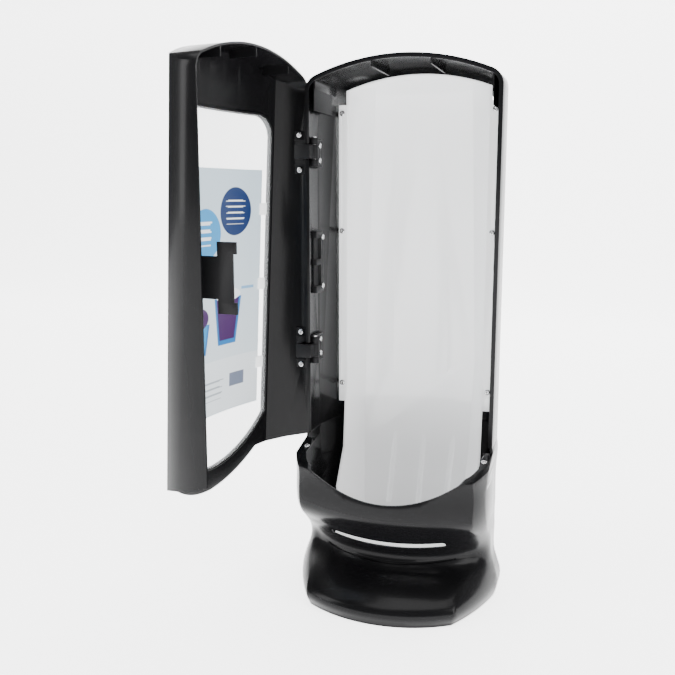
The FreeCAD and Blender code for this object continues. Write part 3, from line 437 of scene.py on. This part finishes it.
class Workshop:
    """Ways to make finished meshes that more than one sub-assembly uses."""

    @staticmethod
    def add(name: str, mesh: bpy.types.Mesh, material: bpy.types.Material | None = None) -> bpy.types.Object:
        """Link a mesh as an object at the origin, with its material."""
        made = bpy.data.objects.new(name, mesh)
        bpy.context.scene.collection.objects.link(made)
        if material is not None:
            mesh.materials.clear()
            mesh.materials.append(material)
        return made

    @staticmethod
    def baked(obj: bpy.types.Object, name: str, material: bpy.types.Material) -> bpy.types.Object:
        """Turn an object with modifiers into a plain mesh object.

        Args:
            obj: The object, which is removed.
            name: The new piece's name.
            material: Its only material.

        Returns:
            The plain piece.
        """
        bpy.context.view_layer.update()
        graph = bpy.context.evaluated_depsgraph_get()
        mesh = bpy.data.meshes.new_from_object(obj.evaluated_get(graph))
        bpy.data.objects.remove(obj)
        return Workshop.add(name, mesh, material)

    @staticmethod
    def smooth(obj: bpy.types.Object, angle: float = 32.0) -> bpy.types.Object:
        """Smooth the shading, with creases kept sharp past an angle in degrees."""
        obj.data.shade_smooth()
        obj.data.set_sharp_from_angle(angle=math.radians(angle))
        return obj

    @classmethod
    def softened(cls, node: str, name: str, material: bpy.types.Material, width: float,
                 angle: float = 38.0) -> bpy.types.Object:
        """A CAD node's shape with its sharp edges rounded, standing in for the node.

        Args:
            node: The CAD node.
            name: The new piece's name.
            material: Its material.
            width: The rounding, in metres.
            angle: Edges sharper than this many degrees are rounded.

        Returns:
            The piece.
        """
        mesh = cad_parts[node].data.copy()
        work = bmesh.new()
        work.from_mesh(mesh)
        bmesh.ops.remove_doubles(work, verts=work.verts, dist=2e-6)
        bmesh.ops.dissolve_limit(work, angle_limit=math.radians(0.4), verts=work.verts, edges=work.edges)
        work.to_mesh(mesh)
        work.free()
        if "custom_normal" in mesh.attributes:
            mesh.attributes.remove(mesh.attributes["custom_normal"])
        made = cls.add(f"{name}_work", mesh)
        bevel = made.modifiers.new("rounding", "BEVEL")
        bevel.width = width
        bevel.segments = 2
        bevel.limit_method = "ANGLE"
        bevel.angle_limit = math.radians(angle)
        bevel.use_clamp_overlap = True
        piece = cls.smooth(cls.baked(made, name, material), 40.0)
        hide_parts(node)
        return piece


class GeometryTree:
    """A Geometry Nodes tree with named inputs, ending in Realize Instances and Set Material."""

    def __init__(self, name: str, inputs: Sequence[tuple[str, str]]) -> None:
        """Start a tree with a geometry input and these (name, socket type) inputs."""
        self.tree = bpy.data.node_groups.new(name, "GeometryNodeTree")
        face = self.tree.interface
        face.new_socket("Geometry", in_out="INPUT", socket_type="NodeSocketGeometry")
        for label, kind in inputs:
            face.new_socket(label, in_out="INPUT", socket_type=kind)
        face.new_socket("Geometry", in_out="OUTPUT", socket_type="NodeSocketGeometry")
        self.start = self.tree.nodes.new("NodeGroupInput")

    def node(self, kind: str, settings: dict[str, Any] | None = None, **sockets: Any) -> bpy.types.Node:
        """Add a node, with its settings set first and then its sockets set or linked."""
        made = self.tree.nodes.new(kind)
        for key, value in (settings or {}).items():
            setattr(made, key, value)
        for key, value in sockets.items():
            socket = made.inputs[key.replace("_", " ")]
            if isinstance(value, bpy.types.NodeSocket):
                self.tree.links.new(value, socket)
            else:
                socket.default_value = value
        return made

    def close(self, geometry: bpy.types.NodeSocket) -> None:
        """End the tree: real geometry, smooth, with the Material input."""
        real = self.node("GeometryNodeRealizeInstances", Geometry=geometry)
        smooth = self.node("GeometryNodeSetShadeSmooth", Geometry=real.outputs[0])
        dressed = self.node("GeometryNodeSetMaterial", Geometry=smooth.outputs[0],
                            Material=self.start.outputs["Material"])
        end = self.tree.nodes.new("NodeGroupOutput")
        self.tree.links.new(dressed.outputs[0], end.inputs[0])

    def run(self, carrier: bpy.types.Object, name: str, values: dict[str, Any],
            material: bpy.types.Material) -> bpy.types.Object:
        """Run the tree on a carrier object and keep the result as a plain mesh.

        Args:
            carrier: The object that carries the points or path; it is removed.
            name: The piece's name.
            values: The named inputs.
            material: The piece's material.

        Returns:
            The piece.
        """
        modifier = carrier.modifiers.new("nodes", "NODES")
        modifier.node_group = self.tree
        keys = {item.name: item.identifier for item in self.tree.interface.items_tree
                if item.item_type == "SOCKET" and item.in_out == "INPUT"}
        for label, value in {**values, "Material": material}.items():
            modifier[keys[label]] = value
        return Workshop.baked(carrier, name, material)


# ---------------------------------------------------------------- fasteners


@dataclass
class PanHeadScrew:
    """A pan-head screw with a cross recess, its head facing +Z and its seat at the origin."""

    head: float = 0.0035
    rise: float = 0.0023
    shank: float = 0.0015
    length: float = 0.0043
    arm: float = 0.00215
    arm_half: float = 0.00042
    sink: float = 0.0011
    end_slope: float = 0.0003
    side_slope: float = 0.00016
    rings: int = 16
    sectors: int = 56

    def height(self, x: float, y: float) -> float:
        """Height of the head's top at a place, with the recess sunk into its dome."""
        share = min(1.0, math.hypot(x, y) / self.head)
        dome = self.rise * (0.55 + 0.45 * math.sqrt(max(0.0, 1 - share**4)))
        reach = max(abs(x), abs(y))
        near = min(abs(x), abs(y))
        along = min(1.0, max(0.0, (self.arm - reach) / self.end_slope))
        aside = min(1.0, max(0.0, (self.arm_half - near) / self.side_slope))
        inside = along * aside
        return dome - self.sink * inside * (1 - 0.5 * reach / self.arm)

    def mesh(self) -> bpy.types.Mesh:
        """The screw as a closed mesh."""
        work = bmesh.new()
        rows: list[list[bmesh.types.BMVert]] = []
        for ring in range(1, self.rings + 1):
            radius = self.head * ring / self.rings
            row = []
            for sector in range(self.sectors):
                turn = math.tau * sector / self.sectors
                x, y = radius * math.cos(turn), radius * math.sin(turn)
                row.append(work.verts.new((x, y, self.height(x, y))))
            rows.append(row)
        for radius, level in ((self.head, 0.0002), (self.head - 0.0002, 0.0), (self.shank, 0.0),
                              (self.shank, -self.length * 0.75), (self.shank * 0.3, -self.length)):
            rows.append([work.verts.new((radius * math.cos(math.tau * s / self.sectors),
                                         radius * math.sin(math.tau * s / self.sectors), level))
                         for s in range(self.sectors)])
        centre = work.verts.new((0, 0, self.height(0, 0)))
        tip = work.verts.new((0, 0, -self.length))
        for s in range(self.sectors):
            after = (s + 1) % self.sectors
            work.faces.new((centre, rows[0][s], rows[0][after]))
            for inner, outer in zip(rows, rows[1:]):
                work.faces.new((inner[s], outer[s], outer[after], inner[after]))
            work.faces.new((rows[-1][s], tip, rows[-1][after]))
        bmesh.ops.recalc_face_normals(work, faces=work.faces)
        mesh = bpy.data.meshes.new("screw_form")
        work.to_mesh(mesh)
        work.free()
        return mesh


@dataclass
class Fasteners:
    """Every set of screws, each placed where its CAD node has it."""

    steel: bpy.types.Material
    shift: float = 0.001
    opened: float = math.radians(98)
    slope: float = math.radians(14.7)
    screw: PanHeadScrew = field(default_factory=PanHeadScrew)

    def islands(self, node: str) -> list[Vector]:
        """The middle of each loose screw of a CAD node."""
        work = bmesh.new()
        work.from_mesh(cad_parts[node].data)
        bmesh.ops.remove_doubles(work, verts=work.verts, dist=2e-6)
        seen: set[int] = set()
        middles = []
        work.verts.ensure_lookup_table()
        for start in work.verts:
            if start.index in seen:
                continue
            stack, group = [start], []
            seen.add(start.index)
            while stack:
                vert = stack.pop()
                group.append(vert.co.copy())
                for edge in vert.link_edges:
                    other = edge.other_vert(vert)
                    if other.index not in seen:
                        seen.add(other.index)
                        stack.append(other)
            low = Vector(min(co[i] for co in group) for i in range(3))
            high = Vector(max(co[i] for co in group) for i in range(3))
            middles.append((low + high) / 2)
        work.free()
        return middles

    def tree(self) -> GeometryTree:
        """The tree that puts a screw on each point, turned to the point's axis."""
        made = GeometryTree("screw_sets", [("Screw", "NodeSocketObject"), ("Size", "NodeSocketFloat"),
                                           ("Material", "NodeSocketMaterial")])
        form = made.node("GeometryNodeObjectInfo", Object=made.start.outputs["Screw"])
        axis = made.node("GeometryNodeInputNamedAttribute", {"data_type": "FLOAT_VECTOR"}, Name="axis")
        turn = made.node("FunctionNodeAlignRotationToVector", {"axis": "Z"}, Vector=axis.outputs[0])
        placed = made.node("GeometryNodeInstanceOnPoints", Points=made.start.outputs["Geometry"],
                           Instance=form.outputs["Geometry"], Rotation=turn.outputs[0],
                           Scale=made.start.outputs["Size"])
        made.close(placed.outputs[0])
        return made

    def build(self) -> list[tuple[bpy.types.Object, Body]]:
        """Make one piece of screws for each CAD node of screws."""
        form = Workshop.add("screw_form_carrier", self.screw.mesh(), self.steel)
        turned = Vector((math.cos(self.opened), -math.sin(self.opened), 0))
        sloped = Vector((0, -math.sin(self.slope), math.cos(self.slope)))
        sets: list[tuple[str, Body, Callable[[Vector], Vector]]] = [
            ("liner_screws", Body.TOWER, lambda at: Vector((0, -1, 0))),
            ("floor_screws", Body.TOWER, lambda at: Vector((0, 0, -1))),
            ("nose_screws", Body.TOWER, lambda at: sloped),
            ("hinge_bracket_screws", Body.TOWER, lambda at: Vector((1, 0, 0))),
            ("keeper_screws", Body.TOWER, lambda at: Vector((1 if at.x < 0 else -1, 0, 0))),
            ("hinge_arm_screws", Body.DOOR, lambda at: turned),
        ]
        tree = self.tree()
        made = []
        for node, body, facing in sets:
            middles = self.islands(node)
            axes = [facing(at) for at in middles]
            points = bpy.data.meshes.new(f"{node}_points")
            points.from_pydata([at + axis * self.shift for at, axis in zip(middles, axes)], [], [])
            attribute = points.attributes.new("axis", "FLOAT_VECTOR", "POINT")
            for item, axis in zip(attribute.data, axes):
                item.vector = axis
            piece = tree.run(Workshop.add(f"{node}_carrier", points), f"{node}_plated",
                             {"Screw": form, "Size": 1.0}, self.steel)
            Workshop.smooth(piece, 50.0)
            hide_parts(node)
            made.append((piece, body))
        bpy.data.objects.remove(form)
        return made


# ---------------------------------------------------------------- swept trim


@dataclass
class SweptTrim:
    """Beads and ridges that follow a path with a round section."""

    sides: int = 12

    def tree(self) -> GeometryTree:
        """The tree that runs a round section along a path of edges."""
        made = GeometryTree("swept_trim", [("Radius", "NodeSocketFloat"), ("Step", "NodeSocketFloat"),
                                           ("Sides", "NodeSocketInt"), ("Material", "NodeSocketMaterial")])
        path = made.node("GeometryNodeMeshToCurve", Mesh=made.start.outputs["Geometry"])
        even = made.node("GeometryNodeResampleCurve", Curve=path.outputs[0])
        if hasattr(even, "mode"):
            even.mode = "LENGTH"
        made.tree.links.new(made.start.outputs["Step"], even.inputs["Length"])
        ring = made.node("GeometryNodeCurvePrimitiveCircle", {"mode": "RADIUS"},
                         Resolution=made.start.outputs["Sides"], Radius=made.start.outputs["Radius"])
        swept = made.node("GeometryNodeCurveToMesh", Curve=even.outputs[0], Profile_Curve=ring.outputs[0],
                          Fill_Caps=True)
        made.close(swept.outputs[0])
        return made

    def run(self, name: str, paths: Iterable[Sequence[Vector]], radius: float, step: float,
            material: bpy.types.Material, closed: bool = False) -> bpy.types.Object:
        """Sweep a round section along paths.

        Args:
            name: The piece's name.
            paths: The points of each path, in metres.
            radius: The section's radius.
            step: The spacing of rings along a path.
            material: The piece's material.
            closed: Whether each path ends where it starts.

        Returns:
            The piece.
        """
        verts: list[Vector] = []
        edges: list[tuple[int, int]] = []
        for path in paths:
            first = len(verts)
            verts += list(path)
            edges += [(i, i + 1) for i in range(first, len(verts) - 1)]
            if closed:
                edges.append((len(verts) - 1, first))
        mesh = bpy.data.meshes.new(f"{name}_path")
        mesh.from_pydata(verts, edges, [])
        piece = self.tree().run(Workshop.add(f"{name}_carrier", mesh), name,
                                {"Radius": radius, "Step": step, "Sides": self.sides}, material)
        work = bmesh.new()
        work.from_mesh(piece.data)
        bmesh.ops.remove_doubles(work, verts=work.verts, dist=1e-7)
        bmesh.ops.recalc_face_normals(work, faces=work.faces)
        work.to_mesh(piece.data)
        work.free()
        return piece


# ---------------------------------------------------------------- sub-assemblies


@dataclass
class Tower:
    """The standing part: shell, base, clear back, liner, hinge brackets and keepers."""

    black: bpy.types.Material
    grained: bpy.types.Material
    clear: bpy.types.Material
    hazy: bpy.types.Material
    white: bpy.types.Material
    rubber: bpy.types.Material
    steel: bpy.types.Material
    rounding: float = 0.0006
    flute_radius: float = 0.0042
    flute_proud: float = 0.0016
    flute_lines: tuple[tuple[float, float], ...] = ((-0.028, -0.032), (0.0105, 0.008), (0.050, 0.044))
    liner_back: tuple[tuple[float, float], ...] = (
        (0.054, 0.088), (0.1054, 0.100), (0.1503, 0.110), (0.268, 0.124))
    liner_wall: float = 0.0016

    def back_depth(self, level: float) -> float:
        """Depth of the liner's inner back face at a level."""
        pairs = self.liner_back
        for (low, near), (high, far) in zip(pairs, pairs[1:]):
            if level <= high:
                return near + (far - near) * (level - low) / (high - low) - self.liner_wall
        return pairs[-1][1] - self.liner_wall

    def flutes(self) -> bpy.types.Object:
        """Three low ridges that stiffen the liner's lower back."""
        paths = []
        for top_x, low_x in self.flute_lines:
            path = []
            for index in range(25):
                share = index / 24
                level = 0.168 - share * 0.095
                sink = self.flute_radius - self.flute_proud * math.sin(math.pi * min(1.0, share * 4) / 2)
                across = top_x + (low_x - top_x) * share
                path.append(Vector((across, self.back_depth(level) + sink, level)))
            paths.append(path)
        return SweptTrim(16).run("liner_flutes", paths, self.flute_radius, 0.004, self.hazy)

    def build(self) -> list[tuple[bpy.types.Object, Body]]:
        """Make the tower's pieces and dress the CAD nodes that stay."""
        pieces = []
        for node, name, width in (("rear_shell", "rear_shell_moulding", self.rounding),
                                  ("base_housing", "base_moulding", self.rounding)):
            piece = Workshop.softened(node, name, self.black, width)
            pieces.append(piece)
        for node in ("hinge_bracket_upper", "hinge_bracket_lower", "latch_keeper_left", "latch_keeper_right",
                     "base_floor"):
            piece = Workshop.softened(node, f"{node}_moulding", self.grained, 0.0003)
            pieces.append(piece)
        # The throat plate's white finish carries a painted glow, standing in for light let through the plate.
        plate = Workshop.softened("throat_plate", "throat_plate_moulding", self.white, 0.0004)
        pads = Workshop.softened("foot_pads", "foot_pads_moulding", self.rubber, 0.0004)
        liner = Workshop.softened("magazine_liner", "liner_moulding", self.hazy, 0.0004)
        flutes = self.flutes()
        pieces += [plate, pads, liner, flutes]
        dress("rear_window", self.clear)
        dress("hinge_pin_upper", self.steel)
        dress("hinge_pin_lower", self.steel)
        return [(piece, Body.TOWER) for piece in pieces]


@dataclass
class Door:
    """The swinging front: shell, clear window with its bead, clips, hinge arms, latch and card."""

    black: bpy.types.Material
    grained: bpy.types.Material
    clear: bpy.types.Material
    hazy: bpy.types.Material
    steel: bpy.types.Material
    card: bpy.types.Material
    rounding: float = 0.0006
    bead_radius: float = 0.0011
    pivot: tuple[float, float] = (-0.107, 0.010)
    opened: float = math.radians(98)
    half: float = 0.093
    top: float = 0.572
    low: float = 0.162
    bow: float = 0.115
    lap: float = 0.0022
    corner: float = 0.024
    edge: tuple[float, float] = (0.103, 0.061)
    depth: float = 0.075
    lean: float = 0.048
    rim: float = 0.182
    inset: float = 0.0045

    def front(self, x: float, z: float) -> float:
        """Depth of the pane's inner face at a place of the closed door."""
        sagitta = self.depth - self.edge[1]
        radius = (self.edge[0] ** 2 + sagitta**2) / (2 * sagitta) - self.inset
        centre = -self.depth + self.inset + radius
        return centre - math.sqrt(radius**2 - x**2) - self.lean * (self.rim - z)

    def swung(self, x: float, y: float, z: float) -> Vector:
        """A point of the closed door, moved to where the open door has it."""
        cosine, sine = math.cos(-self.opened), math.sin(-self.opened)
        dx, dy = x - self.pivot[0], y - self.pivot[1]
        return Vector((self.pivot[0] + dx * cosine - dy * sine, self.pivot[1] + dx * sine + dy * cosine, z))

    def bead_path(self) -> list[Vector]:
        """The window's outline on the inner face, with round upper corners and an arc below."""
        side, roof, foot = self.half + self.lap, self.top + self.lap, self.low - self.lap
        outline: list[tuple[float, float]] = []
        for index in range(41):
            x = -side + 2 * side * index / 40
            outline.append((x, foot + self.bow - math.sqrt(max(0.0, self.bow**2 - x**2))))
        for index in range(1, 40):
            rise = roof - self.corner - outline[40][1]
            outline.append((side, outline[40][1] + rise * index / 40))
        for index in range(13):
            turn = math.pi / 2 * index / 12
            outline.append((side - self.corner * (1 - math.cos(turn)),
                            roof - self.corner * (1 - math.sin(turn))))
        for index in range(1, 24):
            outline.append((side - self.corner - 2 * (side - self.corner) * index / 24, roof))
        for index in range(13):
            turn = math.pi / 2 * index / 12
            outline.append((-side + self.corner * (1 - math.sin(turn)),
                            roof - self.corner * (1 - math.cos(turn))))
        shoulder = outline[0][1]
        for index in range(1, 40):
            outline.append((-side, roof - self.corner + (shoulder - roof + self.corner) * index / 40))
        return [self.swung(x, self.front(x, z) + 0.0002, z) for x, z in outline]

    def build(self) -> list[tuple[bpy.types.Object, Body]]:
        """Make the door's pieces and dress the CAD nodes that stay."""
        shell = Workshop.softened("door_shell", "door_moulding", self.black, self.rounding)
        bead = SweptTrim().run("window_bead", [self.bead_path()], self.bead_radius, 0.003, self.grained, True)
        clips = Workshop.softened("card_clips", "card_clips_moulding", self.hazy, 0.0003)
        pieces = [(shell, Body.DOOR), (bead, Body.DOOR), (clips, Body.DOOR)]
        for node, body in (("hinge_arm_upper", Body.DOOR), ("hinge_arm_lower", Body.DOOR),
                           ("latch_mount", Body.DOOR), ("latch_arm", Body.LATCH)):
            piece = Workshop.softened(node, f"{node}_moulding", self.grained, 0.0004)
            pieces.append((piece, body))
        dress("door_window", self.clear)
        dress("latch_pin", self.steel)
        dress("ad_card", self.card)
        return pieces


def dress(node: str, material: bpy.types.Material) -> None:
    """Give a CAD node that stays its finish.

    Args:
        node: The CAD node's name.
        material: The finish.
    """
    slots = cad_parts[node].data.materials
    slots.clear()
    slots.append(material)


# ---------------------------------------------------------------- studio


@dataclass
class Studio:
    """Floor, sweep, soft lights and the camera."""

    eye: tuple[float, float, float] = (0.2316, -0.9480, 0.4799)
    yaw: float = math.radians(17.908)
    pitch: float = math.radians(9.66)
    roll: float = math.radians(-0.042)
    lens: float = 44.475
    floor_half: float = 6.0
    sweep_start: float = 2.2
    sweep_radius: float = 1.6
    sweep_height: float = 5.0
    air: float = 0.4

    def sweep(self) -> bpy.types.Object:
        """A floor that curves up into a backdrop."""
        profile = [(-self.floor_half, 0.0), (self.sweep_start, 0.0)]
        for index in range(1, 25):
            turn = math.pi / 2 * index / 24
            profile.append((self.sweep_start + self.sweep_radius * math.sin(turn),
                            self.sweep_radius * (1 - math.cos(turn))))
        profile.append((self.sweep_start + self.sweep_radius, self.sweep_height))
        verts = [(x, y, z) for y, z in profile for x in (-self.floor_half, self.floor_half)]
        faces = [(2 * i, 2 * i + 1, 2 * i + 3, 2 * i + 2) for i in range(len(profile) - 1)]
        mesh = bpy.data.meshes.new("sweep")
        mesh.from_pydata(verts, [], faces)
        made = Workshop.add("studio_sweep", mesh, StudioSurface("studio_paper").build())
        made.data.shade_smooth()
        return made

    def light(self, name: str, at: Vector, aim: Vector, wide: float, tall: float, power: float) -> None:
        """Add a rectangular soft light that faces a point."""
        data = bpy.data.lights.new(name, "AREA")
        data.shape = "RECTANGLE"
        data.size, data.size_y, data.energy = wide, tall, power
        made = bpy.data.objects.new(name, data)
        made.rotation_euler = (aim - at).to_track_quat("-Z", "Y").to_euler()
        made.location = at
        bpy.context.scene.collection.objects.link(made)

    def camera(self) -> None:
        """Set the camera at its place, with its turn from yaw, pitch and roll."""
        ahead = Vector((-math.sin(self.yaw) * math.cos(self.pitch), math.cos(self.yaw) * math.cos(self.pitch),
                        -math.sin(self.pitch)))
        level = Vector((math.cos(self.yaw), math.sin(self.yaw), 0))
        upright = level.cross(ahead)
        right = level * math.cos(self.roll) + upright * math.sin(self.roll)
        above = upright * math.cos(self.roll) - level * math.sin(self.roll)
        data = bpy.data.cameras.new("studio_camera")
        data.lens, data.sensor_width, data.clip_start = self.lens, 36.0, 0.01
        made = bpy.data.objects.new("studio_camera", data)
        made.matrix_world = Matrix((
            (right.x, above.x, -ahead.x, self.eye[0]), (right.y, above.y, -ahead.y, self.eye[1]),
            (right.z, above.z, -ahead.z, self.eye[2]), (0, 0, 0, 1)))
        bpy.context.scene.collection.objects.link(made)
        bpy.context.scene.camera = made

    def build(self) -> None:
        """Make the whole studio."""
        self.sweep()
        world = bpy.data.worlds.new("studio_air")
        world.use_nodes = True
        world.node_tree.nodes["Background"].inputs[0].default_value = (1.0, 1.0, 1.0, 1.0)
        world.node_tree.nodes["Background"].inputs[1].default_value = self.air
        bpy.context.scene.world = world
        middle = Vector((-0.05, 0.0, 0.32))
        self.light("soft_box_top", Vector((0.1, -0.4, 2.4)), middle, 2.2, 1.6, 42.0)
        self.light("soft_box_left", Vector((-1.9, -1.1, 1.1)), middle, 0.7, 1.8, 26.0)
        self.light("soft_box_right", Vector((1.9, -0.7, 1.0)), middle, 0.6, 1.8, 26.0)
        self.light("back_wash", Vector((0.0, 1.3, 2.2)), Vector((0, 3.4, 0.8)), 3.0, 1.0, 60.0)
        self.camera()


# ---------------------------------------------------------------- whole tower


def main() -> None:
    """Build the finishes, the studio and every piece, and report each one."""
    logging.basicConfig(level=logging.INFO, format="%(message)s")
    black = MouldedBlack("polished_black").build()
    grained = MouldedBlack("grained_black", tone=(0.006, 0.006, 0.0066), worn=(0.013, 0.013, 0.014), gloss=0.42,
                           grain=1500.0, grain_depth=0.00005, coat=0.0).build()
    # Both clear finishes carry painted reflection in the opacity that rises at their rims.
    clear = ClearMoulding("clear_pane").build()
    # The liner's glow is painted light, standing in for backlight shining through the plastic.
    hazy = ClearMoulding("hazy_liner", tone=(0.95, 0.955, 0.96), shade=(0.9, 0.91, 0.92), body=0.8, edge=0.2,
                         gloss=0.12, ripple=0.00004, glow=0.42).build()
    steel = PlatedSteel("plated_steel").build()
    rubber = SoftRubber("pad_rubber").build()
    white = WhiteMoulding("white_moulding").build()
    card = PrintedCard("printed_card").build()
    Studio().build()
    pieces = Tower(black, grained, clear, hazy, white, rubber, steel).build()
    pieces += Door(black, grained, clear, hazy, steel, card).build()
    pieces += Fasteners(steel).build()
    for piece, body in pieces:
        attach(piece, body.value)
        log.info("%s rides on %s, %d faces", piece.name, body.value, len(piece.data.polygons))


if __name__ == "__main__":
    main()
